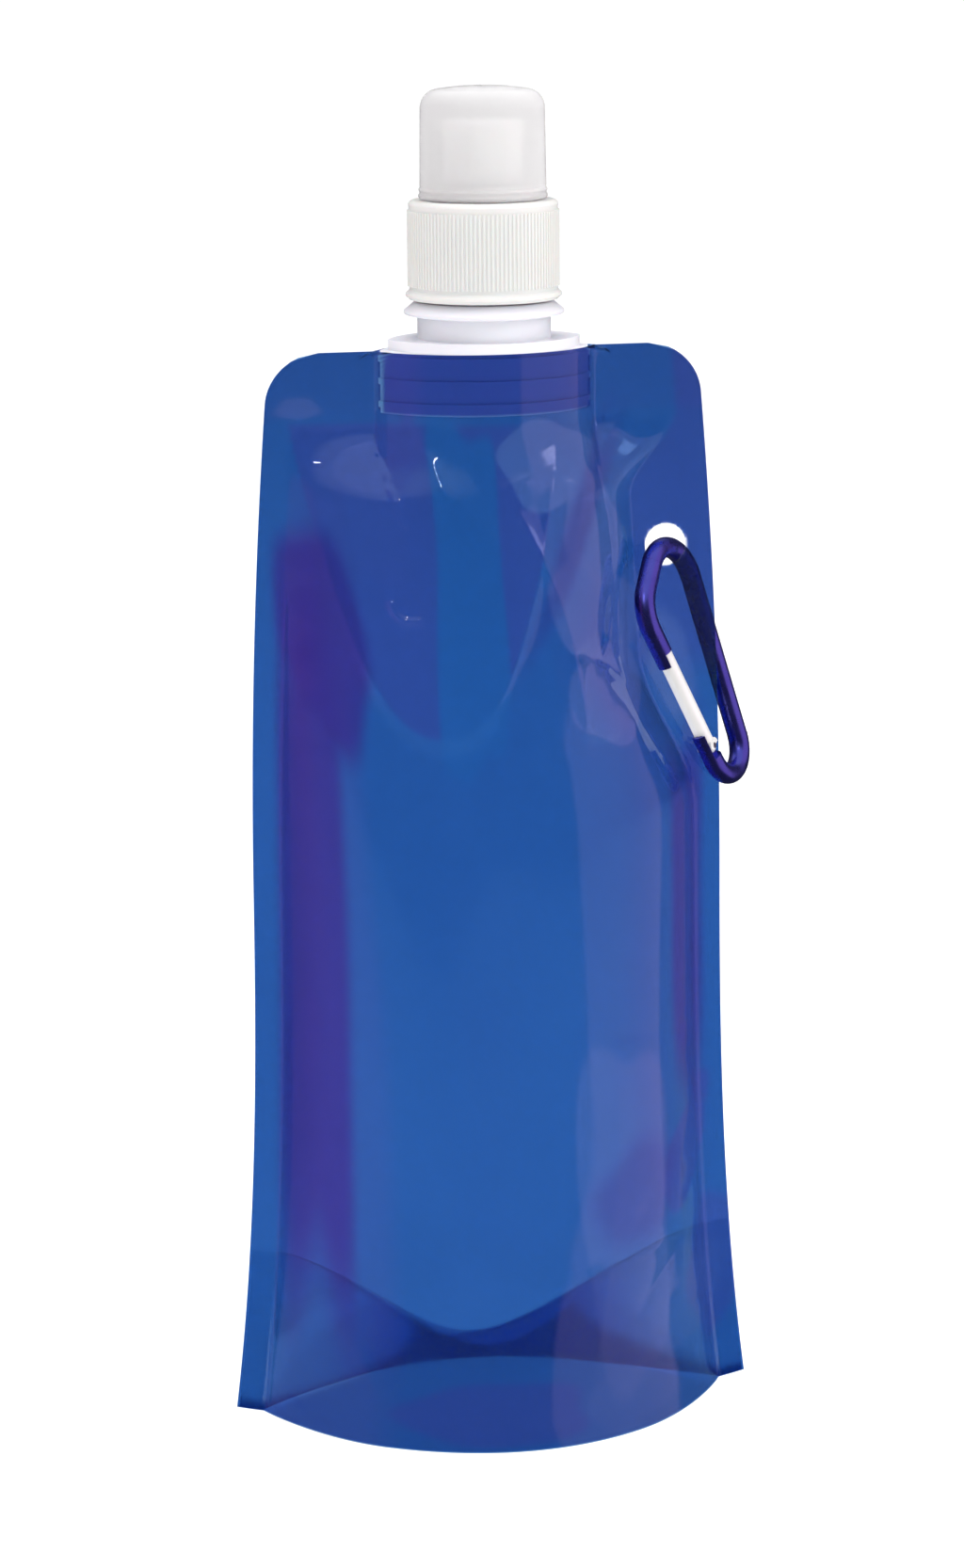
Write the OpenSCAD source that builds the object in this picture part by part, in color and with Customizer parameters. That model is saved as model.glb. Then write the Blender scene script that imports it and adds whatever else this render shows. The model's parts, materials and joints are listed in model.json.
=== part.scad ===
// Folding water bottle: a stand-up film pouch with a welded spout, a screw cap with a push-pull
// nozzle and a dust cover, and a spring-gate carabiner through a hole in the side seal.
// Millimetres. The bottle stands on z = 0 with its front towards -Y, and the spout's axis is the Z axis.

/* [Pouch] */
// Height of the pouch's top edge above the table
pouch_h = 218; // [190:1:262]
// Width across the foot
foot_w = 107; // [90:1:126]
// Width across the waist
waist_w = 96.5; // [86:0.5:118]
// Width across the top edge
top_w = 87; // [80:0.5:108]
// Depth of the foot from front to back
foot_depth = 64; // [46:1:78]
// Thickness of one sheet of film
film_t = 0.4; // [0.3:0.05:0.6]
// Width of the weld down each side
side_seal_w = 5.5; // [4:0.5:9]
// Height of the weld along the top
top_seal_h = 13; // [11:0.5:18]
// Radius of the two top corners
corner_r = 10; // [4:0.5:14]
// Length of the gusset's sheet from its fold to its edge
gusset_len = 34; // [24:1:48]
// How far the two foot corners rise off the table
corner_lift = 3.4; // [0:0.2:6]
// Radius of the hanging hole
hang_hole_r = 4.2; // [4:0.1:6]
// Distance from the hanging hole's centre to the side edge
hang_hole_inset = 9.6; // [8:0.1:14]
// Distance from the hanging hole's centre down from the top edge
hang_hole_drop = 40.6; // [30:0.1:55]

/* [Spout] */
// Radius of the bore through the spout
bore_r = 10.4; // [8:0.1:11.4]
// Outer radius of the threaded neck
neck_r = 12.4; // [11:0.1:14.9]
// Height of the threaded neck above the ledge
neck_h = 16; // [14:0.5:22]
// Pitch of the thread
thread_pitch = 3.2; // [2.6:0.1:3.8]
// How far the thread stands out of the neck
thread_depth = 1.2; // [0.8:0.1:1.6]
// Thickness of the flange that rests on the film
flange_t = 2; // [1.4:0.1:3]
// Height of the handling groove between flange and ledge
groove_h = 4.3; // [3:0.1:7]
// Thickness of the ledge under the cap
ledge_t = 3; // [2:0.1:4]
// Width of the welded boat, tip to tip
boat_w = 42; // [38:0.5:50]
// Depth of the welded boat from front to back
boat_depth = 26.4; // [25.6:0.1:31]

/* [Cap] */
// Thickness of the cap's skirt at the ribs
cap_wall = 1.1; // [0.8:0.05:1.8]
// Number of grip ribs round the cap
rib_count = 110; // [40:2:130]
// Depth of a grip rib
rib_depth = 0.25; // [0.15:0.05:0.5]
// Thickness of the cap's top plate
cap_top_t = 2.4; // [1.6:0.1:3.2]
// Thickness of the sealing liner
liner_t = 1.4; // [0.8:0.1:2]
// Outer radius of the nozzle's tower
tower_r = 6.3; // [5:0.1:7]
// Radius of the valve post
post_r = 1.8; // [1.4:0.1:2.4]
// Outer radius of the drinking nozzle
nozzle_r = 8.2; // [7.9:0.1:9.2]
// Height of the drinking nozzle
nozzle_h = 14.8; // [13.4:0.1:18]
// How far the nozzle pulls up
nozzle_travel = 5; // [3:0.5:6]
// Wall of the dust cover
cover_wall = 0.9; // [0.7:0.05:1.3]
// Height of the dust cover
cover_h = 21.8; // [21.2:0.1:27]

/* [Carabiner] */
// Radius of the carabiner's rod
rod_r = 2.1; // [1.8:0.05:2.4]
// Length of the straight spine
spine_len = 33.8; // [28:0.2:40]
// Centreline radius of the bend at the top
top_bend_r = 8.6; // [7.5:0.1:10]
// Centreline radius of the bend above the gate
nose_bend_r = 7; // [6:0.1:8]
// Centreline radius of the bend at the bottom
low_bend_r = 6.2; // [5.5:0.1:7.5]
// Lean of the carabiner from the vertical, in degrees
lean_deg = 18; // [17:0.5:24]
// Turn of the carabiner's plane out of the film's plane, in degrees
plane_deg = 49; // [46:0.5:60]
// Radius of the gate's tube
gate_r = 1.65; // [1.4:0.05:1.8]
// Radius of the gate's pivot pin
pin_r = 0.6; // [0.4:0.05:0.7]
// How far the gate opens, in degrees
gate_open_deg = 24; // [15:1:26]

/* [Hidden] */
$fn = 96;

film_blue = [0.10, 0.28, 0.62, 0.75];
white = [0.93, 0.92, 0.90];
frosted = [0.95, 0.95, 0.95, 0.5];
anodised = [0.20, 0.16, 0.48];
silver = [0.83, 0.82, 0.80];

fit = 0.1;         // radial clearance of parts that lift off
run = 0.05;        // radial clearance of parts that slide or turn
weld_gap = 0.15;   // space left for the weld between film and boat or film and gusset

// ---- film ----
columns = 24;      // cells across a panel
rows = 26;         // cells up a panel, closer together towards the top
row_power = 1.5;
arch_steps = 10;   // cells across the gusset
bulge_power = 0.9; // roundness of the bulge where it meets the side welds
waist_z = 0.505 * pouch_h;
seal_z = pouch_h - top_seal_h;
shoulder_h = 16;   // height over which the bulge turns into the boat's shape
foot_half = foot_w / 2;
hole_z = pouch_h - hang_hole_drop;
hole_x = half_width(hole_z) - hang_hole_inset;
hole_land = 2.5;   // flat weld left around the hanging hole
tab_extra = half_width(hole_z) - side_seal_w - (hole_x - hang_hole_r - hole_land);
tab_low = hole_z - 54;   // where the wider weld beside the hole starts
tab_full = hole_z - 21;  // and where it is at its full width

function clamp01(t) = min(1, max(0, t));
function ease(a, b, t) = let(k = clamp01((t - a) / (b - a))) k * k * (3 - 2 * k);
function mix(a, b, k) = a + (b - a) * k;

// half width of the pouch at height z, corners square
function half_width(z) = z > waist_z
    ? (waist_w - (waist_w - top_w) * pow((z - waist_z) / (pouch_h - waist_z), 2)) / 2
    : (waist_w + (foot_w - waist_w) * pow((waist_z - z) / waist_z, 2.6)) / 2;
// the same with the two top corners rounded
function outline(z) = let(over = z - (pouch_h - corner_r))
    half_width(z) - (over > 0 ? corner_r - sqrt(max(0, corner_r * corner_r - over * over)) : 0);
// extra weld beside the hanging hole, on the right only
function tab(x, z) = x > 0
    ? tab_extra * ease(tab_low, tab_full, z) * (1 - ease(hole_z + 10, hole_z + 28, z)) : 0;
// where the bulge ends on that side
function bulge_edge(x, z) = half_width(z) - side_seal_w - tab(x, z);
// half depth of the pouch on its axis
function half_depth(z) = boat_depth / 2 + (foot_depth - boat_depth) / 2
    * (1 - pow(clamp01(z / seal_z), 2.2));
// share of that depth across the pouch: a lens at the foot and the top, flatter at the waist
function flatness(z) = 2 + 1.1 * ease(4, 62, z) - 0.9 * ease(seal_z - 70, seal_z, z);
function bulge(x, z) = let(k = clamp01(abs(x) / bulge_edge(x, z)))
    half_depth(z) * pow(max(0, 1 - pow(k, flatness(z))), bulge_power);
// half depth of a lens through (w/2, 0) and (0, d/2)
function lens_r(w, d) = (w * w + d * d) / (4 * d);
function lens(x, w, d) = let(r = lens_r(w, d))
    abs(x) < w / 2 ? sqrt(r * r - x * x) - (r - d / 2) : 0;
boat_film_w = boat_w + 2 * weld_gap + 1.6;
boat_film_d = boat_depth + 2 * weld_gap;
// room for the gusset's folded ends inside the side welds
function pocket(z) = (film_t + weld_gap) * (1 - ease(gusset_len, gusset_len + 6, z));
// inner face of a panel, measured from the middle plane
function inner(x, z) = max(pocket(z),
    mix(bulge(x, z) - film_t, lens(x, boat_film_w, boat_film_d),
        ease(seal_z - shoulder_h, seal_z - 1, z)));
function lift(x) = corner_lift * pow(clamp01((abs(x) - 26) / (foot_half - 26)), 2);

// A closed solid between two grids of points, sides[0] facing out
module sheet(outer, inner_side) {
    nu = len(outer) - 1;
    nv = len(outer[0]) - 1;
    count = (nu + 1) * (nv + 1);
    flat_points = [for (side = [outer, inner_side]) for (column = side) for (p = column) p];
    function at(i, j, side) = side * count + i * (nv + 1) + j;
    faces = concat(
        [for (i = [0:nu - 1]) for (j = [0:nv - 1]) each
            [[at(i, j, 0), at(i, j + 1, 0), at(i + 1, j + 1, 0)],
             [at(i, j, 0), at(i + 1, j + 1, 0), at(i + 1, j, 0)],
             [at(i, j, 1), at(i + 1, j + 1, 1), at(i, j + 1, 1)],
             [at(i, j, 1), at(i + 1, j, 1), at(i + 1, j + 1, 1)]]],
        [for (i = [0:nu - 1]) each
            [[at(i, 0, 0), at(i + 1, 0, 0), at(i + 1, 0, 1)],
             [at(i, 0, 0), at(i + 1, 0, 1), at(i, 0, 1)],
             [at(i + 1, nv, 0), at(i, nv, 0), at(i, nv, 1)],
             [at(i + 1, nv, 0), at(i, nv, 1), at(i + 1, nv, 1)]]],
        [for (j = [0:nv - 1]) each
            [[at(0, j + 1, 0), at(0, j, 0), at(0, j, 1)],
             [at(0, j + 1, 0), at(0, j, 1), at(0, j + 1, 1)],
             [at(nu, j, 0), at(nu, j + 1, 0), at(nu, j + 1, 1)],
             [at(nu, j, 0), at(nu, j + 1, 1), at(nu, j, 1)]]]);
    polyhedron(points = flat_points, faces = faces, convexity = 6);
}

// one panel, bulging towards -Y, with its hanging hole
module panel() {
    function point(i, j, extra) = let(
        z0 = pouch_h * (1 - pow(1 - j / rows, row_power)),
        u = 2 * i / columns - 1,
        x = u * outline(z0),
        z = z0 + lift(x) * (1 - z0 / pouch_h))
        [x, -inner(x, z0) - extra, z];
    difference() {
        sheet([for (i = [0:columns]) [for (j = [0:rows]) point(i, j, film_t)]],
              [for (i = [0:columns]) [for (j = [0:rows]) point(i, j, 0)]]);
        translate([hole_x, 0, hole_z])
            rotate([90, 0, 0])
                cylinder(r = hang_hole_r, h = 20, center = true);
    }
}

module front_panel() {
    color(film_blue) panel();
}

module back_panel() {
    color(film_blue) mirror([0, 1, 0]) panel();
}

// the third sheet, folded up between the panels at its ends and spread out in the middle
module bottom_gusset() {
    eps = 0.02;
    edge = 0.4;
    function arch(u, phi, thin) = let(
        x0 = u * (foot_half - edge),
        foot = inner(x0, 0) - weld_gap,
        rise = sqrt(max(9, gusset_len * gusset_len - foot * foot)),
        z0 = (rise - thin) * sin(phi),
        x = u * (outline(z0) - edge),
        reach = min(foot * abs(cos(phi)), inner(x, z0) - weld_gap),
        y = max(reach - thin, eps * abs(cos(phi))))
        [x, -sign(cos(phi)) * (abs(cos(phi)) < 1e-6 ? 0 : y), z0 + lift(x) * (1 - z0 / pouch_h)];
    color(film_blue)
        sheet([for (i = [0:columns]) [for (j = [0:arch_steps])
                  arch(2 * i / columns - 1, 180 * j / arch_steps, 0)]],
              [for (i = [0:columns]) [for (j = [0:arch_steps])
                  arch(2 * i / columns - 1, 180 * j / arch_steps, film_t)]]);
}

// ---- spout ----
flange_z = pouch_h + 0.2;
groove_z = flange_z + flange_t;
ledge_z = groove_z + groove_h;
neck_z = ledge_z + ledge_t;
neck_top = neck_z + neck_h;
boat_z = seal_z + 0.8;
groove_r = neck_r + 0.8;
ledge_r = neck_r + 3.5;
thread_z = neck_z + 3.6;
thread_turns = 1.75;
thread_seg = 30;     // segments per turn of a thread
weld_ribs = 3;

// a ring round the Z axis from a half profile
module turned(profile) {
    rotate_extrude() polygon(profile);
}

// points of a rounded corner
function fillet(cx, cz, r, from, to, steps = 5) =
    [for (k = [0:steps]) let(a = from + (to - from) * k / steps) [cx + r * cos(a), cz + r * sin(a)]];

// a solid lens standing on z = 0, pointed at both ends of X
module lens_plate(w, d, h) {
    r = lens_r(w, d);
    intersection() {
        translate([0, r - d / 2, 0]) cylinder(r = r, h = h, $fn = 180);
        translate([0, d / 2 - r, 0]) cylinder(r = r, h = h, $fn = 180);
    }
}

// a helical ridge: root radius, tip radius, half widths at both, turns, starting at z = 0
module ridge(root, tip, root_half, tip_half, turns) {
    steps = round(turns * thread_seg);
    function size(k) = ease(0, 4, k) * ease(0, 4, steps - k) * 0.94 + 0.06;
    function ring(k) = let(a = 360 * k / thread_seg, z = thread_pitch * k / thread_seg, s = size(k),
                           r = root + (tip - root) * s)
        [for (p = [[root, -root_half * s], [r, -tip_half * s], [r, tip_half * s], [root, root_half * s]])
            [p[0] * cos(a), p[0] * sin(a), z + p[1]]];
    rings = [for (k = [0:steps]) each ring(k)];
    inward = tip < root;
    sides = [for (k = [0:steps - 1]) for (e = [0:3]) let(a = 4 * k + e, b = 4 * k + (e + 1) % 4)
        each [[a, b, b + 4], [a, b + 4, a + 4]]];
    last = 4 * steps;
    ends = [[0, 2, 1], [0, 3, 2], [last, last + 1, last + 2], [last, last + 2, last + 3]];
    faces = concat(sides, ends);
    polyhedron(points = rings, faces = inward ? [for (f = faces) [f[2], f[1], f[0]]] : faces,
               convexity = 6);
}

module spout_outside() {
    translate([0, 0, boat_z]) lens_plate(boat_w, boat_depth - 0.8, flange_z - boat_z);
    for (k = [0:weld_ribs - 1])
        translate([0, 0, boat_z + 1.2 + k * (flange_z - boat_z - 3.4) / (weld_ribs - 1)])
            lens_plate(boat_w + 0.8, boat_depth, 1.2);
    translate([0, 0, flange_z]) {
        lens_plate(2 * neck_r + 14, 2 * neck_r + 4.4, flange_t);
        cylinder(r = neck_r + 2.1, h = flange_t);
    }
    turned(concat(
        [[0, groove_z - 0.5], [groove_r, groove_z - 0.5], [groove_r, ledge_z]],
        [[groove_r + 0.6, ledge_z + 0.1]],
        fillet(ledge_r - 0.5, ledge_z + 0.9, 0.5, -70, 60),
        [[neck_r + 1.2, neck_z], [neck_r, neck_z]],
        [[neck_r, neck_top - 0.6], [neck_r - 0.5, neck_top], [0, neck_top]]));
    translate([0, 0, thread_z])
        ridge(neck_r - 0.35, neck_r + thread_depth, 1.15, 0.45, thread_turns);
}

module spout() {
    color(white) difference() {
        spout_outside();
        translate([0, 0, boat_z - 1]) cylinder(r = bore_r, h = neck_top - boat_z + 2);
    }
}

// ---- cap ----
cap_in_r = neck_r + thread_depth + 0.35;
cap_r = cap_in_r + cap_wall;
cap_z = neck_z + 0.4;
liner_z = neck_top;
plate_z = liner_z + liner_t + 0.05;
cap_top = plate_z + cap_top_t;
liner_r = cap_in_r - 0.6;
cover_in_r = nozzle_r + 3.25;
collar_h = 2.8;
collar_r = cover_in_r - fit;
tower_bore = tower_r - 1.6;
spoke_w = 1.4;
nozzle_gap = 0.7;   // the shut nozzle's foot above the cap's top
nozzle_z = cap_top + nozzle_gap;
post_top = nozzle_z + nozzle_h + 0.2;
lip_h = 1.6;        // snap lip inside the foot of the nozzle
snap_bead = 0.3;    // snap bead round the top of the tower
bead_h = 1.4;       // from the bead's underside up to the tower's top
tower_h = nozzle_gap + lip_h + nozzle_travel + bead_h;
nozzle_bore = tower_r + snap_bead + run;
tip_wall = 1.8;
cover_z = cap_top + 0.3;

module cap_liner() {
    color([0.86, 0.88, 0.9]) translate([0, 0, liner_z]) difference() {
        cylinder(r = liner_r, h = liner_t);
        translate([0, 0, -1]) cylinder(r = bore_r + 0.2, h = liner_t + 2);
    }
}

// the skirt's outside with its fine vertical ribs
module ribbed_skirt() {
    rib_z = cap_z + 2.6;
    rib_top = cap_top - 2;
    translate([0, 0, rib_z])
        linear_extrude(rib_top - rib_z)
            polygon([for (k = [0:rib_count - 1]) for (s = [[-0.3, 0], [-0.17, 1], [0.17, 1], [0.3, 0]])
                let(a = 360 * (k + s[0]) / rib_count, r = cap_r - rib_depth * (1 - s[1]))
                [r * cos(a), r * sin(a)]]);
    turned(concat(
        [[0, cap_z], [cap_r - 0.3, cap_z]],
        fillet(cap_r - 0.1, cap_z + 0.9, 0.55, -80, 80),
        [[cap_r - 0.35, cap_z + 1.9], [cap_r - 0.35, cap_top - 1.6]],
        fillet(cap_r - 1.3, cap_top - 1.1, 1.1, 15, 90),
        [[0, cap_top]]));
}

module screw_cap() {
    color(white) {
        difference() {
            ribbed_skirt();
            translate([0, 0, cap_z - 1]) cylinder(r = cap_in_r, h = plate_z - cap_z + 1);
            translate([0, 0, plate_z - 1]) cylinder(r = tower_bore, h = cap_top_t + 2);
        }
        translate([0, 0, thread_z + thread_pitch * 0.5])
            ridge(cap_in_r + 0.35, neck_r + 0.35, 0.85, 0.35, 1.5);
        // tower with its snap bead, and the collar that the dust cover sits on
        difference() {
            turned([[0, cap_top - 0.5], [tower_r, cap_top - 0.5], [tower_r, cap_top + tower_h - bead_h],
                    [tower_r + snap_bead, cap_top + tower_h - 0.9],
                    [tower_r + snap_bead, cap_top + tower_h - 0.5],
                    [tower_r - 0.1, cap_top + tower_h], [0, cap_top + tower_h]]);
            translate([0, 0, cap_top - 1]) cylinder(r = tower_bore, h = tower_h + 2);
        }
        difference() {
            turned([[0, cap_top - 0.5], [collar_r, cap_top - 0.5], [collar_r, cap_top + collar_h - 0.5],
                    [collar_r - 0.5, cap_top + collar_h], [0, cap_top + collar_h]]);
            translate([0, 0, cap_top])
                cylinder(r = nozzle_r + 0.9, h = collar_h + 1);
        }
        // valve post on three spokes
        turned([[0, plate_z], [post_r, plate_z], [post_r, post_top - 0.5], [post_r - 0.4, post_top],
                [0, post_top]]);
        for (k = [0:2])
            rotate([0, 0, 90 + 120 * k])
                translate([0, -spoke_w / 2, plate_z])
                    cube([tower_bore + 0.4, spoke_w, cap_top_t]);
    }
}

module pull_nozzle() {
    tip_in = nozzle_h - tip_wall;
    color(white) translate([0, 0, nozzle_z]) turned(concat(
        [[tower_r + run, 0], [nozzle_r + 0.2, 0]],
        fillet(nozzle_r + 0.2, 0.6, 0.4, -80, 80),
        [[nozzle_r - 0.35, 1.6], [nozzle_r - 0.45, nozzle_h - 3.4]],
        fillet(nozzle_r - 0.9, nozzle_h - 1.1, 1.1, -30, 90),
        [[post_r + 1.6, nozzle_h], [post_r + run, nozzle_h - 0.7], [post_r + run, tip_in],
         [post_r + 1.2, tip_in], [nozzle_bore, tip_in - 2.6], [nozzle_bore, lip_h + 0.4],
         [tower_r + run, lip_h]]));
}

module dust_cover() {
    out_r = cover_in_r + cover_wall;
    top_in = cover_h - cover_wall;
    color(frosted) translate([0, 0, cover_z]) turned(concat(
        [[cover_in_r, 0], [out_r + 0.1, 0]],
        fillet(out_r, 0.5, 0.45, -70, 70),
        fillet(out_r - 0.05, 1.7, 0.4, -60, 70),
        [[out_r - 0.05, 2.5], [out_r - 0.2, cover_h - 4.4]],
        fillet(out_r - 4.0, cover_h - 4.3, 3.8, 5, 80),
        [[out_r - 7, cover_h - 0.1], [0, cover_h], [0, top_in], [out_r - 7, top_in - 0.1]],
        fillet(cover_in_r - 3.3, top_in - 3.1, 3.0, 80, 5),
        [[cover_in_r - 0.15, 4]]));
}

// ---- carabiner ----
// Local frame: X from the gate to the spine, Y up the spine, Z out of the carabiner's plane.
top_c = [-top_bend_r, spine_len / 2];
low_c = [-low_bend_r, -spine_len / 2];
nose_c = [-2 * top_bend_r + nose_bend_r - 4.4, spine_len / 2 - 2.6];
hang_x = -7;          // where the rod passes through the film's plane
hang_y = top_c[1] + sqrt(top_bend_r * top_bend_r - pow(hang_x - top_c[0], 2));
hang_gap = 1.4;       // room that the slanting rod needs below it in the hole
hang_off = [-0.2, rod_r + hang_gap - hang_hole_r];  // where the rod hangs inside the hole
tuck_deg = 3;         // turn of the carabiner in its own plane, its foot towards the gate
rod_let = 0.3;        // how far a straight rod is let into a bend
rod_step = 0.03;      // and how much thinner it is, so that it stays inside the bend
nose_len = 5.6;       // straight nose above the gate
lap_len = 2.6;        // outer lip that stops the gate at the nose
pivot_up = 3.4;       // from the bottom bend's end up to the pivot
gate_in = 0.35;       // gate's axis inside the rod's centreline
tang_t = 1.3;         // thickness of the tang inside the gate
slot_w = tang_t + 2 * run;
tang_top = 2.0;       // top of the tang above the pivot
plunger_ratio = 0.8;  // plunger's travel per radian of gate opening
bore_small = 0.95;    // bore of the gate's tube
spring_wire = 0.18;
spring_turns = 8;
plunger_r = bore_small - run;
head_r = 0.5;

// direction of the outer belt line between two round corners, anticlockwise round the shape
function belt_deg(c1, r1, c2, r2) = let(d = c2 - c1)
    (360 + atan2(d[1], d[0]) + asin((r1 - r2) / norm(d))) % 360;
gate_deg = belt_deg(nose_c, nose_bend_r, low_c, low_bend_r);
brow_deg = belt_deg(top_c, top_bend_r, nose_c, nose_bend_r);
function belt_point(c, r, deg) = c + r * [sin(deg), -cos(deg)];
gate_start = belt_point(nose_c, nose_bend_r, gate_deg);
gate_end = belt_point(low_c, low_bend_r, gate_deg);
gate_span = norm(gate_end - gate_start);
gate_len = gate_span - nose_len - pivot_up;  // from the gate's top to the pivot

module in_place() {
    translate([hole_x + hang_off[0], 0, hole_z + hang_off[1]])
        rotate([0, -lean_deg, 0])
            rotate([0, 0, plane_deg])
                rotate([90, 0, 0])
                    rotate([0, 0, -tuck_deg])
                        translate([-hang_x, -hang_y, 0])
                            children();
}

// a round rod from a to b in the carabiner's plane, let into the bends at its ends
module rod(a, b) {
    d = b - a;
    translate([a[0], a[1], 0]) rotate([0, 0, atan2(d[1], d[0])]) rotate([0, 90, 0])
        translate([0, 0, -rod_let]) cylinder(r = rod_r - rod_step, h = norm(d) + 2 * rod_let, $fn = 48);
}

// a bent rod round c from one belt direction to the next
module bend(c, r, from, to) {
    translate([c[0], c[1], 0]) rotate([0, 0, from - 90])
        rotate_extrude(angle = to - from, $fn = 96) translate([r, 0]) circle(r = rod_r, $fn = 48);
}

// the gate's frame: X along the gate from its top to the pivot, Y towards the spine, origin at the pivot
module gate_frame() {
    pivot = gate_start + (nose_len + gate_len) * [cos(gate_deg), sin(gate_deg)];
    translate([pivot[0], pivot[1], 0]) rotate([0, 0, gate_deg]) children();
}

// cam on the tang's top: the plunger climbs it as the gate opens
module tang() {
    sweep = gate_open_deg + 20;
    cam = [for (k = [0:10]) let(a = gate_open_deg + 6 - sweep * k / 10,
                                r = tang_top + plunger_ratio * max(0, a) * PI / 180)
        [-r * cos(a), gate_in + r * sin(a)]];
    difference() {
        translate([0, 0, -tang_t / 2]) linear_extrude(tang_t)
            polygon(concat([[pivot_up + 1.5, gate_in + 1.1]], [[0, gate_in + 1.1]], cam,
                           [[0, -0.9]], [[pivot_up + 1.5, -0.9]]));
        translate([0, gate_in, -2]) cylinder(r = pin_r + run, h = 4, $fn = 32);
    }
}

module carabiner_body() {
    along = [cos(gate_deg), sin(gate_deg)];
    color(anodised) in_place() {
        difference() {
            union() {
                rod([0, low_c[1]], [0, top_c[1]]);
                bend(top_c, top_bend_r, 90, brow_deg);
                rod(belt_point(top_c, top_bend_r, brow_deg), belt_point(nose_c, nose_bend_r, brow_deg));
                bend(nose_c, nose_bend_r, brow_deg, gate_deg);
                rod(gate_start, gate_start + (nose_len + lap_len) * along);
                bend(low_c, low_bend_r, gate_deg, 450);
                rod(gate_end - (pivot_up + 3.2) * along, gate_end);
            }
            gate_frame() {
                // seat for the gate, leaving an outer lip at both ends
                translate([-gate_len, gate_in - gate_r - 0.15, -4])
                    cube([gate_len + pivot_up - 1.1, 6, 8]);
                // slot for the gate's tongue
                translate([-gate_len - 2.4, gate_in - gate_r - 0.15, -0.75])
                    cube([3, 6, 1.5]);
            }
        }
        gate_frame() tang();
    }
}

module carabiner_gate() {
    top_x = -gate_len + 0.15;
    color(silver) in_place() gate_frame() translate([0, gate_in, 0]) difference() {
        union() {
            translate([top_x, 0, 0]) rotate([0, 90, 0])
                cylinder(r = gate_r, h = gate_len - 0.15, $fn = 48);
            cylinder(r = gate_r, h = 2 * gate_r, center = true, $fn = 48);
            translate([top_x - 1.9, -0.9, -0.6]) cube([2.4, 1.8, 1.2]);
        }
        // round off the pivot end to the tube's own section
        difference() {
            translate([-0.01, -3, -3]) cube([4, 6, 6]);
            sphere(r = gate_r, $fn = 48);
        }
        // slot for the tang
        translate([-tang_top - 1.5, -3, -slot_w / 2]) cube([tang_top + 5, 6, slot_w]);
        // bore for the spring and plunger
        translate([top_x + 2.2, 0, 0]) rotate([0, 90, 0])
            cylinder(r = bore_small, h = gate_len - tang_top - 3, $fn = 32);
        // hole for the pivot pin
        cylinder(r = pin_r, h = 8, center = true, $fn = 32);
    }
}

module gate_pivot_pin() {
    color(silver) in_place() gate_frame() translate([0, gate_in, 0])
        cylinder(r = pin_r, h = 2 * gate_r - 0.1, center = true, $fn = 32);
}

plunger_len = 3.2;
plunger_tip = -tang_top - 0.12;
plunger_travel = plunger_ratio * gate_open_deg * PI / 180;
collar_low = 1.5;     // the plunger's collar, measured from its tip
collar_high = 2.3;

module spring_plunger() {
    color(silver) in_place() gate_frame() translate([plunger_tip, gate_in, 0]) rotate([0, -90, 0]) {
        translate([0, 0, head_r]) sphere(r = head_r, $fn = 32);
        translate([0, 0, head_r]) cylinder(r = head_r, h = plunger_len - head_r, $fn = 32);
        translate([0, 0, collar_low]) cylinder(r = plunger_r, h = collar_high - collar_low, $fn = 32);
    }
}

// coil spring between the plunger's shoulder and the end of the gate's bore
module gate_spring() {
    from = gate_len - 0.15 - 2.2 - spring_wire;
    to = -plunger_tip + collar_high + run + plunger_travel + spring_wire;
    coil_r = plunger_r - spring_wire - 0.02;
    seg = 12;
    steps = spring_turns * seg;
    function ring(k) = let(a = 360 * k / seg, z = to + (from - to) * k / steps)
        [for (e = [0:5]) let(b = 60 * e, r = coil_r + spring_wire * cos(b))
            [r * cos(a), r * sin(a), z + spring_wire * sin(b)]];
    rings = [for (k = [0:steps]) each ring(k)];
    sides = [for (k = [0:steps - 1]) for (e = [0:5]) let(a = 6 * k + e, b = 6 * k + (e + 1) % 6)
        each [[a, b, b + 6], [a, b + 6, a + 6]]];
    last = 6 * steps;
    color(silver) in_place() gate_frame() translate([0, gate_in, 0]) rotate([0, -90, 0])
        polyhedron(points = rings, faces = concat(sides, [[5, 4, 3, 2, 1, 0]],
            [[last, last + 1, last + 2, last + 3, last + 4, last + 5]]), convexity = 10);
}

front_panel();
back_panel();
bottom_gusset();
spout();
cap_liner();
screw_cap();
pull_nozzle();
dust_cover();
carabiner_body();
carabiner_gate();
gate_pivot_pin();
gate_spring();
spring_plunger();
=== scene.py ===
"""Looks of the folding water bottle: film pouch, spout, cap, dust cover and carabiner."""
import json
import math

import bmesh
import bpy
import numpy as np
from mathutils import Matrix, Vector


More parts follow.
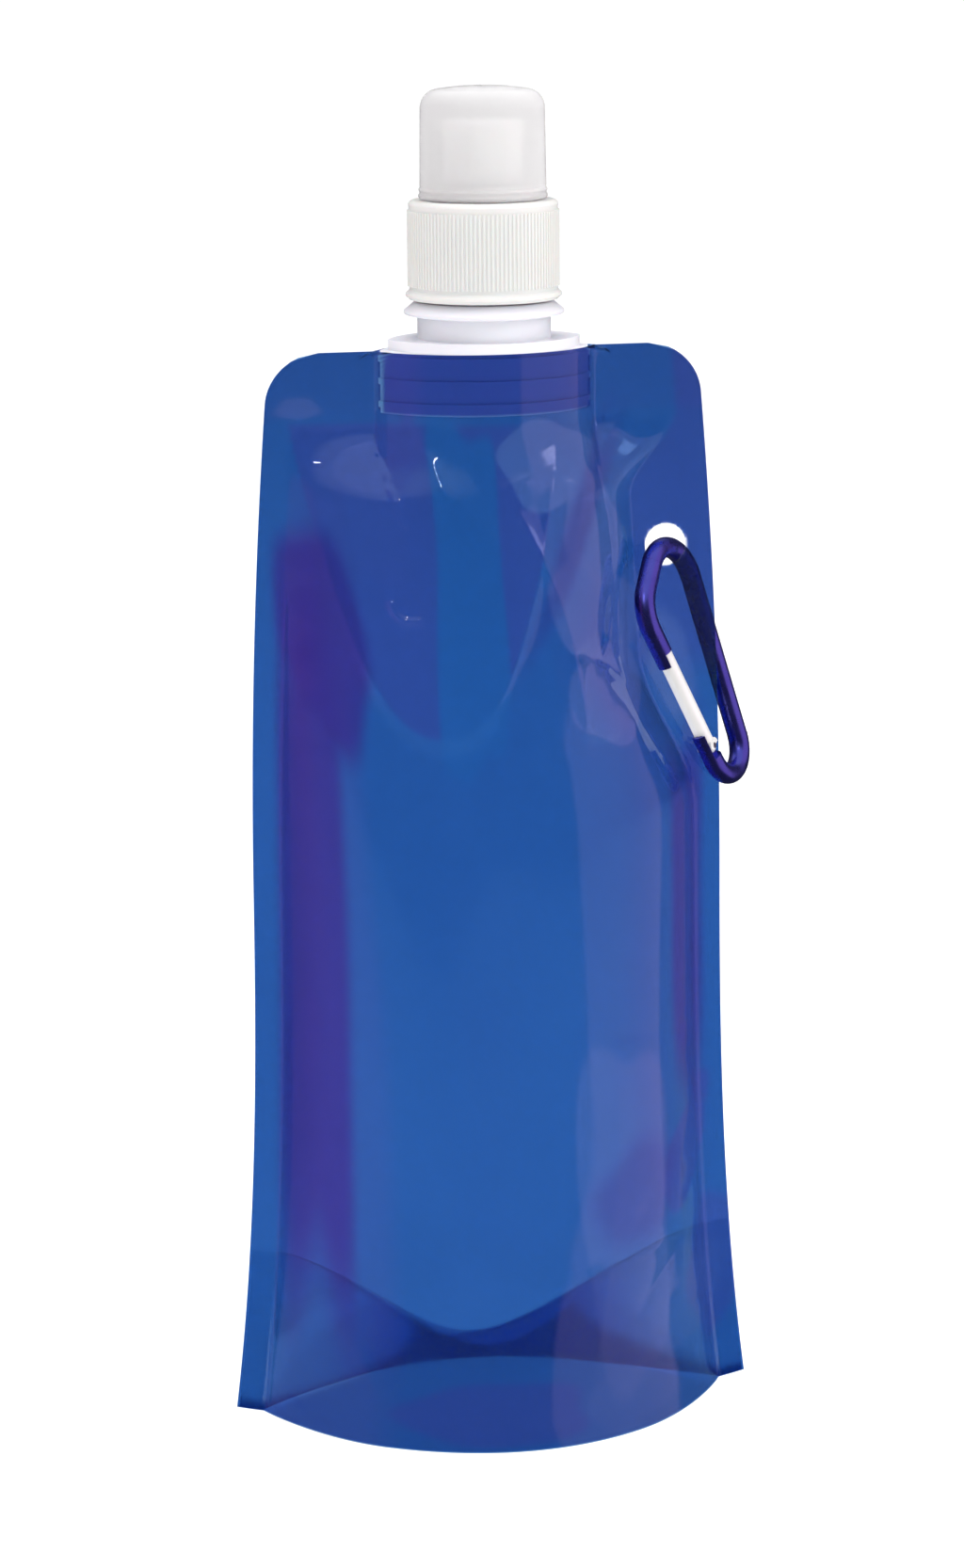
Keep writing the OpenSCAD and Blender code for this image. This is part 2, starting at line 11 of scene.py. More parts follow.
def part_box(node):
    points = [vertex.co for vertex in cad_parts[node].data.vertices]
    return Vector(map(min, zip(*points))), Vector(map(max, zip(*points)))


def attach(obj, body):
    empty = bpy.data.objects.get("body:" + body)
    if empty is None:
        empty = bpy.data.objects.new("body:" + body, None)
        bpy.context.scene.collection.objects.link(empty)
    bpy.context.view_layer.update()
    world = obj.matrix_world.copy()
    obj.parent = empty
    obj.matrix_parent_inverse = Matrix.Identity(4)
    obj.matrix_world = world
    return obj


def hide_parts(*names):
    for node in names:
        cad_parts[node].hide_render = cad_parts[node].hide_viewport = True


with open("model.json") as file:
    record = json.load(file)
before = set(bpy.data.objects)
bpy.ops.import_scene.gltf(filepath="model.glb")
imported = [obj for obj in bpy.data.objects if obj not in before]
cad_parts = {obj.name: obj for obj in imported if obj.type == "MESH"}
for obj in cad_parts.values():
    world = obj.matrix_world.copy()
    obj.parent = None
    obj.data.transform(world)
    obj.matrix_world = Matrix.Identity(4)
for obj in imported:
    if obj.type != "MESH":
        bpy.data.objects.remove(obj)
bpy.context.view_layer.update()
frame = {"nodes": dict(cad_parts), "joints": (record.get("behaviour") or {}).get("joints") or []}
MM = 0.001


def box_mm(node):
    """A CAD node's lowest and highest corners in millimetres."""
    low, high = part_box(node)
    return np.array(low) / MM, np.array(high) / MM


# ---------------------------------------------------------------- sizes of the pouch, in mm
PANEL_LOW, PANEL_HIGH = box_mm("front_panel")
_, SPOUT_HIGH = box_mm("spout")
FOOT_HALF = PANEL_HIGH[0]          # half width of the foot
FOOT_DEPTH = -PANEL_LOW[1]         # half depth of the foot
TOP_Z = PANEL_HIGH[2]              # top edge of the film
WAIST_HALF = 48.25                 # half width at the waist
TOP_HALF = 43.5                    # half width at the top edge
WAIST_Z = 0.505 * TOP_Z
SEAL_SIDE = 5.5                    # width of the side welds
SEAL_TOP = 13.0                    # height of the top weld
SEAL_Z = TOP_Z - SEAL_TOP
CORNER = 10.0                      # radius of the top corners
BOAT_HALF = SPOUT_HIGH[0] + 0.9     # the film's bulge round the spout's boat
BOAT_DEPTH = 13.3                  # half depth of the film round the boat
SHOULDER = 16.0                    # height over which the belly turns into the boat's lens
FILM = 0.12                        # thickness of one sheet
PANEL_GAP = 0.03                   # half the gap left between the two panels at the welds
CORNER_LIFT = 3.4                  # how far the two foot corners rise
GUSSET = 34.0                      # length of the gusset from its fold to its edge
HOLE_R = 4.2                       # the hanging hole
HOLE_X, _, HOLE_Z = (c / MM for c in next(
    j for j in frame["joints"] if j["name"] == "carabiner_swing")["pos_m"])
HOLE_LAND = 2.5                    # flat weld left round it
PUCKER = 7.5                       # spacing of the small puckers along the side welds
RIM_ANGLE = math.radians(75)       # a sharper edge than this is a cut edge, not a fold


def clamp(t):
    return np.clip(t, 0.0, 1.0)


def ease(a, b, t):
    k = clamp((t - a) / (b - a))
    return k * k * (3 - 2 * k)


def half_width(z):
    high = (2 * WAIST_HALF - 2 * (WAIST_HALF - TOP_HALF)
            * (np.maximum(z - WAIST_Z, 0) / (TOP_Z - WAIST_Z)) ** 2) / 2
    low = WAIST_HALF + (FOOT_HALF - WAIST_HALF) * (np.maximum(WAIST_Z - z, 0) / WAIST_Z) ** 2.6
    return np.where(z > WAIST_Z, high, low)


def outline(z):
    over = np.maximum(z - (TOP_Z - CORNER), 0)
    return half_width(z) - (CORNER - np.sqrt(np.maximum(CORNER ** 2 - over ** 2, 0)))


TAB = half_width(np.array(HOLE_Z)) - SEAL_SIDE - (HOLE_X - HOLE_R - HOLE_LAND)


def tab(x, z):
    """Extra weld beside the hanging hole, on the right only."""
    return np.where(x > 0, TAB * ease(HOLE_Z - 54, HOLE_Z - 21, z)
                    * (1 - ease(HOLE_Z + 10, HOLE_Z + 28, z)), 0.0)


def bulge_edge(x, z):
    return half_width(z) - SEAL_SIDE - tab(x, z)


def half_depth(z):
    return BOAT_DEPTH + (FOOT_DEPTH - BOAT_DEPTH) * (1 - clamp(z / SEAL_Z) ** 2.2)


def flatness(z):
    return 2 + 1.1 * ease(4, 62, z) - 0.9 * ease(SEAL_Z - 70, SEAL_Z, z)


def lens(x):
    w, d = 2 * BOAT_HALF, 2 * BOAT_DEPTH
    r = (w * w + d * d) / (4 * d)
    return np.where(np.abs(x) < w / 2, np.sqrt(np.maximum(r * r - x * x, 0)) - (r - d / 2), 0.0)


def belly(x, z):
    """Depth of the film's inner face in front of the middle plane."""
    k = clamp(np.abs(x) / bulge_edge(x, z))
    deep = half_depth(z) * np.maximum(0, 1 - k ** flatness(z)) ** 0.9 - 0.2
    low = np.maximum(deep, 0)
    return low + (lens(x) - low) * ease(SEAL_Z - SHOULDER, SEAL_Z - 1, z)


def lift(x, z):
    return CORNER_LIFT * clamp((np.abs(x) - 26) / (FOOT_HALF - 26)) ** 2 * (1 - z / TOP_Z)


# ---------------------------------------------------------------- mesh helpers
def grid_faces(nu, nv, close=False):
    cols = nu if close else nu - 1
    i, j = np.meshgrid(np.arange(cols), np.arange(nv - 1), indexing="ij")
    a = i * nv + j
    b = ((i + 1) % nu) * nv + j
    return np.stack([a, b, b + 1, a + 1], -1).reshape(-1, 4)


def new_object(name, points, faces, material, smooth=True):
    """A mesh object from points in millimetres."""
    mesh = bpy.data.meshes.new(name)
    mesh.from_pydata((np.asarray(points) * MM).tolist(), [], [list(map(int, f)) for f in faces])
    mesh.validate()
    obj = bpy.data.objects.new(name, mesh)
    bpy.context.scene.collection.objects.link(obj)
    mesh.materials.append(material)
    if smooth:
        mesh.shade_smooth()
    return obj


def bake_modifiers(obj):
    """Turns the object's modifiers into its mesh."""
    graph = bpy.context.evaluated_depsgraph_get()
    mesh = bpy.data.meshes.new_from_object(obj.evaluated_get(graph))
    old = obj.data
    obj.modifiers.clear()
    obj.data = mesh
    bpy.data.meshes.remove(old)
    mesh.name = obj.name


# ---------------------------------------------------------------- materials
MIX_INPUTS = (0, 6, 7)      # a colour mix node's factor and two colours
MIX_OUTPUT = 2


class Nodes:
    """A short way to build one node material."""

    def __init__(self, name):
        self.material = bpy.data.materials.new(name)
        self.material.use_nodes = True
        self.tree = self.material.node_tree
        self.shader = self.tree.nodes["Principled BSDF"]
        self.coords = self.tree.nodes.new("ShaderNodeTexCoord").outputs["Object"]

    def set(self, **values):
        for key, value in values.items():
            self.shader.inputs[key.replace("_", " ")].default_value = value

    def link(self, output, socket):
        self.tree.links.new(output, self.shader.inputs[socket])

    def node(self, kind, inputs=(), **settings):
        made = self.tree.nodes.new(kind)
        for key, value in settings.items():
            setattr(made, key, value)
        for key, value in dict(inputs).items():
            if isinstance(value, bpy.types.NodeSocket):
                self.tree.links.new(value, made.inputs[key])
            else:
                made.inputs[key].default_value = value
        return made

    def noise(self, scale, detail=3, rough=0.5, stretch=(1, 1, 1), distort=0.0):
        moved = self.node("ShaderNodeMapping", {"Vector": self.coords, "Scale": stretch})
        made = self.node("ShaderNodeTexNoise", {
            "Vector": moved.outputs[0], "Scale": scale, "Detail": detail, "Roughness": rough,
            "Distortion": distort})
        return made.outputs[0]

    def ramp(self, value, stops):
        made = self.node("ShaderNodeValToRGB", {"Fac": value})
        points = made.color_ramp.elements
        while len(points) < len(stops):
            points.new(0.5)
        for point, (position, colour) in zip(points, stops):
            point.position = position
            point.color = colour if len(colour) == 4 else (*colour, 1)
        return made.outputs[0]

    def spread(self, value, low, high, start=0.3, end=0.7):
        made = self.node("ShaderNodeMapRange", {
            "Value": value, "From Min": start, "From Max": end, "To Min": low, "To Max": high})
        return made.outputs[0]

    def bump(self, heights):
        """Bump from (height output, distance in metres) pairs, each on top of the last."""
        normal = None
        for height, distance in heights:
            inputs = {"Height": height, "Distance": distance, "Strength": 1.0}
            if normal is not None:
                inputs["Normal"] = normal
            normal = self.node("ShaderNodeBump", inputs).outputs[0]
        self.link(normal, "Normal")


def film_material(name, ior):
    """Clear film in the colour that the attribute "tint" holds at each point, painted shade, reflections
    and highlights included.
    """
    m = Nodes(name)
    m.set(Transmission_Weight=1.0, IOR=ior)
    tint = m.node("ShaderNodeAttribute", attribute_name="tint").outputs["Color"]
    tone = m.ramp(m.noise(14, 3, stretch=(1.0, 1.0, 0.35), distort=0.4),
                  [(0.3, (0.90, 0.92, 0.94)), (0.7, (1.0, 1.0, 1.0))])
    product = m.node("ShaderNodeMix", data_type="RGBA", blend_type="MULTIPLY")
    factor, first, second = (product.inputs[i] for i in MIX_INPUTS)
    factor.default_value = 1.0
    m.tree.links.new(tint, first)
    m.tree.links.new(tone, second)
    m.link(product.outputs[MIX_OUTPUT], "Base Color")
    m.link(m.spread(m.noise(70, 3), 0.03, 0.09), "Roughness")
    m.bump([(m.noise(45, 2, stretch=(1, 1, 0.5)), 0.00006), (m.noise(160, 1), 0.000003)])
    return m.material


def film_edge():
    """The film's cut edge, which gathers light and looks paler than the sheet."""
    m = Nodes("film_edge")
    m.set(IOR=1.03, Transmission_Weight=1.0)
    stops = [(0.35, (0.30, 0.48, 0.74)), (0.65, (0.36, 0.54, 0.80))]
    m.link(m.ramp(m.noise(40, 2), stops), "Base Color")
    m.link(m.spread(m.noise(90, 2), 0.25, 0.4), "Roughness")
    m.bump([(m.noise(600, 2), 0.00001)])
    return m.material


def plastic(name, low, high, rough, grain=0.00002, ior=1.5, subsurface=0.15):
    m = Nodes(name)
    m.set(IOR=ior, Subsurface_Weight=subsurface, Subsurface_Scale=0.004)
    m.link(m.ramp(m.noise(28, 3), [(0.35, low), (0.65, high)]), "Base Color")
    m.link(m.spread(m.noise(120, 4), rough - 0.05, rough + 0.07), "Roughness")
    m.bump([(m.noise(900, 2), grain), (m.noise(60, 2), 0.00006)])
    return m.material


def frosted():
    m = Nodes("frosted_cover")
    m.set(IOR=1.06, Transmission_Weight=0.66)
    stops = [(0.35, (0.97, 0.965, 0.96)), (0.65, (0.99, 0.985, 0.98))]
    m.link(m.ramp(m.noise(30, 2), stops), "Base Color")
    m.link(m.spread(m.noise(150, 3), 0.16, 0.24), "Roughness")
    m.bump([(m.noise(300, 2), 0.000004)])
    return m.material


def metal(name, low, high, rough, stretch=(1, 1, 1), metallic=1.0):
    m = Nodes(name)
    m.set(Metallic=metallic)
    m.link(m.ramp(m.noise(60, 3), [(0.35, low), (0.65, high)]), "Base Color")
    m.link(m.spread(m.noise(400, 3, stretch=stretch), rough - 0.05, rough + 0.08), "Roughness")
    m.bump([(m.noise(1500, 2, stretch=stretch), 0.000006)])
    return m.material


# ---------------------------------------------------------------- pouch
# the film's own tints, and the painted shade, painted reflections and painted highlights laid over them
CLEAR = np.array([0.112, 0.262, 0.520])
# painted shade: the dark U-shaped fold, dark patches, the weld by the hanging hole and the back's top
# weld
PAINTED_SHADE = (0.180, 0.210, 0.500)
# painted reflection: the lighter strip down the U-shaped fold
PAINTED_REFLECTION = (0.095, 0.290, 0.550)
# painted reflection: purple bands where the film turns steeply towards the side welds
PURPLE_REFLECTION = (0.175, 0.090, 0.380)
# painted highlights: pale patches where the creased film reflects a soft box
PAINTED_HIGHLIGHT = (0.380, 0.375, 0.600)
# painted shade over the spout's boat, which sits in shadow behind the film
BOAT_SHADE = (0.030, 0.068, 0.345)     # over the spout's boat, which is white and close behind
# painted shade in the gusset's middle
FOOT_SHADE = (0.38, 0.52, 0.88)    # the gusset's middle, with the bright floor close behind
FOOT_SIDES = (0.88, 0.94, 0.98)    # the rest of it
# painted shade along the gusset's weld to the front panel, fainter at the back
FOOT_LOW_SHADE = (0.07, 0.20, 0.50)      # next to its weld to the front panel, and fainter at the back

# Places and sizes on a panel are shares of its half width and of its height.
TONGUE_MIDDLE = -0.28      # the big U-shaped fold under the spout
TONGUE_HALF = 0.56
TONGUE_LOW = 0.66
TONGUE_TOP = 0.95
# patch of painted reflection: the lighter strip in the U-shaped fold
TONGUE_REFLECTION_STRIP = ((-0.16, 0.78), (0.14, 0.15), 0, 10, 1.0, 0.4)
# areas: centre, half size, lean in degrees, squareness (2 is an ellipse), strength, soft edge in mm
# patches of painted shade
SHADE_LOBES = [((-0.45, 0.87), (0.06, 0.08), -15, 1.6, 0.9, 0.5),
              ((0.78, 0.25), (0.13, 0.06), -25, 1.5, 1.0, 0.4),
              ((0.90, 0.12), (0.14, 0.07), 0, 1.6, 0.8, 0.8),
              ((-0.10, 0.035), (0.35, 0.03), 0, 2.5, 0.9, 0.6)]
# patches of painted purple reflection
PURPLE_REFLECTION_LOBES = [((-0.78, 0.45), (0.11, 0.31), 0, 8, 0.9, 1.4),
                ((-0.74, 0.75), (0.16, 0.10), 10, 1.8, 0.9, 1.4),
                ((0.82, 0.46), (0.10, 0.16), 0, 5, 0.8, 1.4),
                ((0.34, 0.84), (0.06, 0.10), -25, 2.5, 0.5, 1.4),
                ((0.50, 0.23), (0.18, 0.05), -30, 2, 0.45, 3.0)]
# patches of painted highlight
HIGHLIGHT_LOBES = [((0.22, 0.90), (0.24, 0.04), -10, 1.7, 0.85, 0.4),
              ((0.42, 0.84), (0.15, 0.06), 15, 1.5, 0.8, 0.4),
              ((0.32, 0.77), (0.13, 0.05), 10, 1.8, 0.8, 0.4),
              ((0.55, 0.76), (0.12, 0.04), 30, 1.4, 0.6, 0.3),
              ((0.45, 0.69), (0.20, 0.045), 15, 1.8, 0.75, 0.4),
              ((0.80, 0.70), (0.09, 0.05), 10, 2, 0.5, 0.9),
              ((0.45, 0.21), (0.20, 0.16), 4, 4, 0.42, 0.5),
              ((0.45, 0.035), (0.22, 0.03), 0, 1.8, 0.2, 0.7),
              ((0.75, 0.11), (0.22, 0.05), 30, 1.6, 0.15, 0.7),
              ((-0.85, 0.95), (0.10, 0.01), 0, 2, 0.5, 0.5)]
# folds: start, end, bow in mm, height in mm (out is positive), half width in mm, sharpness (1 a crease)
FRONT_FOLDS = [
    ((0.00, 0.88), (0.33, 0.64), 4, 1.3, 2.6, 1.0),
    ((0.00, 0.88), (0.45, 0.90), 1, 0.5, 2.0, 1.0),
    ((0.45, 0.90), (0.42, 0.71), 4, -1.2, 2.4, 1.0),
    ((0.42, 0.93), (0.27, 0.80), 1, 0.5, 3.0, 1.2),
    ((0.28, 0.73), (0.60, 0.67), 3, -1.1, 2.4, 1.0),
    ((0.60, 0.67), (0.30, 0.65), 3, -0.8, 2.4, 1.0),
    ((0.48, 0.90), (0.70, 0.94), 1, 0.35, 1.8, 1.2),
    ((-0.35, 0.94), (0.10, 0.80), -4, 0.5, 2.6, 1.3),
    ((-0.20, 0.92), (0.15, 0.83), -2, -0.4, 2.4, 1.3),
    ((-0.50, 0.94), (-0.30, 0.78), -2, -0.6, 2.6, 1.2),
    ((-0.90, 0.76), (-0.80, 0.66), -2, 0.4, 2.4, 1.4),
    ((0.35, 0.38), (0.92, 0.35), 2, -0.45, 1.2, 1.0),
    ((0.72, 0.35), (0.88, 0.35), 5, -0.35, 1.0, 1.0),
    ((0.92, 0.32), (0.75, 0.18), -5, 0.8, 2.0, 1.0),
    ((0.90, 0.29), (0.75, 0.18), 1, -1.5, 3.6, 1.4),
    ((0.42, 0.37), (0.25, 0.03), 2, 0.5, 2.6, 1.0),
    ((-0.80, 0.43), (-0.80, 0.33), 2, -0.5, 2.2, 1.3),
    ((-0.88, 0.17), (-0.55, 0.05), 2, 0.6, 2.2, 1.0),
    ((-0.90, 0.14), (-0.68, 0.28), -2, -0.5, 3.0, 1.3),
    ((-0.86, 0.86), (-0.84, 0.18), 1, 0.3, 1.8, 1.3),
]
FRONT_STAR = ((0.75, 0.18), (30, -20, -60, -95, -130, 190, 150))    # centre, directions in degrees
FRONT_GLINTS = [((-0.50, 0.905), (-0.48, 0.890), 0, 0.45, 0.6, 2.0),
                ((-0.47, 0.880), (-0.45, 0.868), 0, 0.45, 0.6, 2.0),
                ((-0.45, 0.862), (-0.42, 0.850), 0, 0.45, 0.6, 2.0),
                ((-0.48, 0.780), (-0.37, 0.765), -1.5, 0.5, 0.65, 2.0)]
BACK_FOLDS = [
    ((-0.65, 0.90), (-0.45, 0.70), 2, 0.6, 3.0, 1.2),
    ((0.60, 0.90), (0.20, 0.73), -2, 0.7, 3.0, 1.1),
    ((-0.30, 0.94), (0.20, 0.80), -3, -0.6, 2.8, 1.2),
    ((0.60, 0.55), (0.25, 0.45), 1, 0.5, 3.4, 1.2),
    ((-0.85, 0.44), (-0.35, 0.42), -2, -0.45, 2.2, 1.1),
    ((0.75, 0.20), (0.60, 0.35), 2, -0.7, 3.0, 1.2),
]
BACK_STARS = (((-0.75, 0.19), (45, -60, -115)), ((0.75, 0.20), (-60, -115)))



def from_line(x, z, points):
    """Distance of every (x, z) from a run of points, and how far along it is nearest, 0 to 1."""
    near = np.full(x.shape, 1e9)
    along = np.zeros(x.shape)
    lengths = [math.dist(a, b) for a, b in zip(points, points[1:])]
    passed = 0.0
    for (ax, az), (bx, bz), length in zip(points, points[1:], lengths):
        t = clamp(((x - ax) * (bx - ax) + (z - az) * (bz - az)) / length ** 2)
        d = np.hypot(x - ax - t * (bx - ax), z - az - t * (bz - az))
        closer = d < near
        along = np.where(closer, (passed + t * length) / sum(lengths), along)
        near = np.where(closer, d, near)
        passed += length
    return near, along


def place(across, up):
    """A point of the panel in mm, from shares of its half width and its height."""
    z = up * TOP_Z
    return across * float(half_width(np.array(z))), z


def bowed(start, end, bow, steps=8):
    """Points on a line between two places that bows sideways by that many millimetres."""
    (ax, az), (bx, bz) = place(*start), place(*end)
    long = math.dist((ax, az), (bx, bz))
    line = []
    for t in np.linspace(0, 1, steps):
        out = 4 * bow * t * (1 - t) / long
        line.append((ax + (bx - ax) * t - (bz - az) * out, az + (bz - az) * t + (bx - ax) * out))
    return line


def star_folds(centre, directions):
    """Creases that run out from one place, turn about standing out and pressed in."""
    x, z = place(*centre)
    folds = []
    for k, turn in enumerate(directions):
        reach = 16 + 5 * (k % 3)
        tip = (x + reach * math.cos(math.radians(turn)), z + reach * math.sin(math.radians(turn)))
        folds.append(([(x, z), tip], 0.65 if k % 2 else -0.6, 2.6, 1.0))
    return folds


def lobe(x, z, centre, size, lean, square, strength, soft):
    """Its strength inside a rounded, slightly uneven patch and 0 outside."""
    cx, cz = place(*centre)
    half_x, half_z = size[0] * place(1, centre[1])[0], size[1] * TOP_Z
    a = math.radians(lean)
    u = ((x - cx) * math.cos(a) + (z - cz) * math.sin(a)) / half_x
    v = ((z - cz) * math.cos(a) - (x - cx) * math.sin(a)) / half_z
    round_it = np.arctan2(v, u)
    uneven = 1 + 0.07 * np.sin(3 * round_it + cx) + 0.05 * np.sin(5 * round_it + cz)
    r = (np.abs(u) ** square + np.abs(v) ** square) ** (1 / square) * uneven
    return strength * ease(-soft, soft, (1 - r) * min(half_x, half_z))


def tongue_span():
    """The middle and the half width of the U-shaped fold, in mm."""
    return place(TONGUE_MIDDLE, TONGUE_LOW)[0], place(TONGUE_HALF, TONGUE_LOW)[0]


def tongue_edge(x):
    """Height in mm of the U-shaped fold's edge at each x."""
    middle, half = tongue_span()
    u = np.abs((x - middle) / half)
    return TOP_Z * (TONGUE_LOW + (TONGUE_TOP - TONGUE_LOW) * u ** 2.4)


def arc_lines(arcs):
    """Rows of start, end, bow and the rest, as (points, the rest)."""
    return [(bowed(start, end, bow), *rest) for start, end, bow, *rest in arcs]


def fold_lines(side):
    """Every fold of a panel as (points, height, half width, sharpness)."""
    lines = arc_lines(FRONT_FOLDS if side < 0 else BACK_FOLDS)
    for star in (FRONT_STAR,) if side < 0 else BACK_STARS:
        lines += star_folds(*star)
    if side < 0:
        middle, half = tongue_span()
        across = middle + half * np.linspace(-0.97, 0.97, 16)
        lines.append(([(float(p), float(tongue_edge(p))) for p in across], 0.6, 1.8, 1.2))
    return lines


def fold_height(x, z, folds):
    """Sum of the folds; all but the sharpest fade towards both ends."""
    total = np.zeros(x.shape)
    for points, height, width, sharp in folds:
        d, along = from_line(x, z, points)
        fade = ease(0, 0.22, along) * (1 - ease(0.78, 1, along)) if sharp < 2 else 1.0
        total += height * (0.25 + 0.75 * fade) * np.exp(-(d / width) ** sharp)
    return total


def waves(x, z, seed):
    """Slow, shallow waves all over a panel, in mm."""
    rng = np.random.default_rng(seed)
    total = np.zeros(x.shape)
    for _ in range(14):
        length = rng.uniform(22, 60)
        turn = rng.uniform(-0.6, 0.6)
        phase = rng.uniform(0, 2 * math.pi)
        total += length * 0.0024 * np.sin(2 * math.pi * (x * math.cos(turn) + 0.45 * z * math.sin(turn))
                                          / length + phase + 0.02 * z)
    return total


def relief(x, z, side):
    """How far the film stands out of its smooth shape, in mm."""
    edge = bulge_edge(x, z) - np.abs(x)              # distance in from the side weld
    free = ease(0.5, 9, edge) * ease(0, 8, z) * (1 - ease(SEAL_Z - 4, SEAL_Z + 3, z))
    height = fold_height(x, z, fold_lines(side)) + waves(x, z, 5 if side < 0 else 9)
    # flat where the carabiner lies against the film
    near_ring = ease(22, 29, x) * ease(118, 128, z) * (1 - ease(188, 194, z))
    height = height * free * (1 - near_ring)
    rng = np.random.default_rng(31 if side < 0 else 37)
    beats = np.arange(-10, 240, PUCKER)
    beat = np.interp(z, beats, rng.uniform(0.2, 1.0, len(beats)))
    pucker = beat * np.cos(2 * math.pi * z / PUCKER + 3.5 * np.sin(z / 17) + (x > 0) * 2)
    height += 0.12 * pucker * np.exp(-((edge - 3.2) / 3.4) ** 2) * ease(10, 22, z) \
        * (1 - ease(SEAL_Z - 16, SEAL_Z - 6, z)) * (1 - near_ring) * ease(0, 1.5, edge)
    if side < 0:
        height += fold_height(x, z, arc_lines(FRONT_GLINTS))
    return height


def weld_lines(x, z):
    """Fine pressed lines at the welds' inner edges, in mm."""
    edge = bulge_edge(x, z) - np.abs(x)
    side_line = np.exp(-((edge + 0.7) / 0.45) ** 2)
    top_line = np.exp(-((z - SEAL_Z - 1.2) / 0.5) ** 2) * ease(BOAT_HALF, BOAT_HALF + 3, np.abs(x))
    return -0.12 * np.maximum(side_line * (z < SEAL_Z + 1), top_line)


def set_tint(mesh, colour):
    """Stores one colour a point in the attribute that the film's material reads."""
    values = np.concatenate([colour, np.ones(colour.shape[:-1] + (1,))], -1)
    tint = mesh.attributes.new("tint", "FLOAT_COLOR", "POINT")
    tint.data.foreach_set("color", values.reshape(-1))


def panel_tint(x, z, side):
    """The film's colour: clear blue with painted shade, painted purple reflections and painted
    highlights.
    """
    colour = np.zeros(x.shape + (3,)) + CLEAR

    def move(share, tint):
        nonlocal colour
        colour = colour + (np.array(tint) - colour) * share[..., None]

    # painted shade over the spout's boat
    boat = ease(-0.3, 0.3, BOAT_HALF - 1.4 - np.abs(x)) * ease(-0.3, 0.3, z - SEAL_Z - 1)
    if side > 0:
        edge = bulge_edge(x, z) - np.abs(x)
        # on the back: painted shade along the top weld, a painted purple reflection near the side welds
        # and painted shade over the boat
        move(0.3 * ease(SEAL_Z - 1, SEAL_Z + 1, z), PAINTED_SHADE)
        move(0.35 * np.exp(-((edge - 5) / 5) ** 2) * ease(30, 60, z) * (1 - ease(150, 190, z)), PURPLE_REFLECTION)
        move(boat, BOAT_SHADE)
        return colour
    # painted shade inside the U-shaped fold, kept out of its painted lighter strip, and painted shade on
    # the weld beside the hanging hole
    strip = lobe(x, z, *TONGUE_REFLECTION_STRIP)
    tongue_shade = ease(-0.4, 0.4, z - tongue_edge(x)) * (1 - ease(SEAL_Z - 2, SEAL_Z, z))
    weld = ease(-0.5, 0.5, x - bulge_edge(x, z)) * ease(HOLE_Z - 30, HOLE_Z - 20, z)
    move(tongue_shade * (1 - strip), PAINTED_SHADE)
    move(0.85 * weld, PAINTED_SHADE)
    areas = ((PAINTED_SHADE, 1.0, SHADE_LOBES), (PAINTED_REFLECTION, 0.7, [TONGUE_REFLECTION_STRIP]),
             (PAINTED_HIGHLIGHT, 1.0, HIGHLIGHT_LOBES), (PURPLE_REFLECTION, 1.0, PURPLE_REFLECTION_LOBES))
    for shade, share, lobes in areas:
        for row in lobes:
            move(share * lobe(x, z, *row), shade)
    move(boat, BOAT_SHADE)
    return colour


def spaced(low, high, count, dense_from, dense_to, gain):
    """Numbers from low to high, closer together by the gain inside one stretch."""
    fine = np.linspace(low, high, 4000)
    density = 1 + (gain - 1) * ease(-8, 0, fine - dense_from) * ease(-8, 0, dense_to - fine)
    total = np.concatenate([[0], np.cumsum((density[1:] + density[:-1]) / 2)])
    return np.interp(np.linspace(0, total[-1], count), total, fine)


def panel_grid(columns, rows):
    """Places on a panel, closer together where it is most creased."""
    s = spaced(-46, 46, columns, -34, 32, 1.9) / 46
    z0 = spaced(0, TOP_Z, rows, 138, 206, 2.2)
    s, z0 = np.meshgrid(s, z0, indexing="ij")
    return s * (outline(z0) - FILM), z0


def thicken(obj):
    """Gives a sheet its thickness, with the cut-edge material on its rim."""
    obj.data.materials.append(edge_material)
    solid = obj.modifiers.new("thickness", "SOLIDIFY")
    solid.thickness = FILM * MM
    solid.offset = 0
    solid.material_offset_rim = 1
    bake_modifiers(obj)
    obj.data.set_sharp_from_angle(angle=RIM_ANGLE)


CUTTER_REACH = 12       # how far the hole's cutter reaches either way, in mm


def make_panel(name, side, columns, rows, material):
    """One panel of film; side is -1 for the front and 1 for the back."""
    x, z0 = panel_grid(columns, rows)
    out = belly(x, z0) + FILM / 2 + PANEL_GAP + np.maximum(
        relief(x, z0, side) + weld_lines(x, z0), -belly(x, z0))
    points = np.stack([x, side * out, z0 + lift(x, z0)], -1).reshape(-1, 3)
    faces = grid_faces(columns, rows)
    if side > 0:
        faces = faces[:, ::-1]
    obj = new_object(name, points, faces, material)
    set_tint(obj.data, panel_tint(x, z0, side))
    thicken(obj)
    cutter = new_object("cutter", *tube_solid(HOLE_R, CUTTER_REACH), material, smooth=False)
    cut = obj.modifiers.new("hole", "BOOLEAN")
    cut.object = cutter
    cut.solver = "EXACT"
    bake_modifiers(obj)
    bpy.data.objects.remove(cutter)
    obj.data.shade_smooth()
    obj.data.set_sharp_from_angle(angle=RIM_ANGLE)
    return obj


def tube_solid(radius, half_length, sides=64):
    """A closed cylinder along Y through the hanging hole."""
    points = []
    for y in (-half_length, half_length):
        for k in range(sides):
            a = 2 * math.pi * k / sides
            points.append((HOLE_X + radius * math.cos(a), y, HOLE_Z + radius * math.sin(a)))
    faces = [(k, sides + k, sides + (k + 1) % sides, (k + 1) % sides) for k in range(sides)]
    faces += [tuple(range(sides)), tuple(range(sides, 2 * sides))[::-1]]
    return points, faces


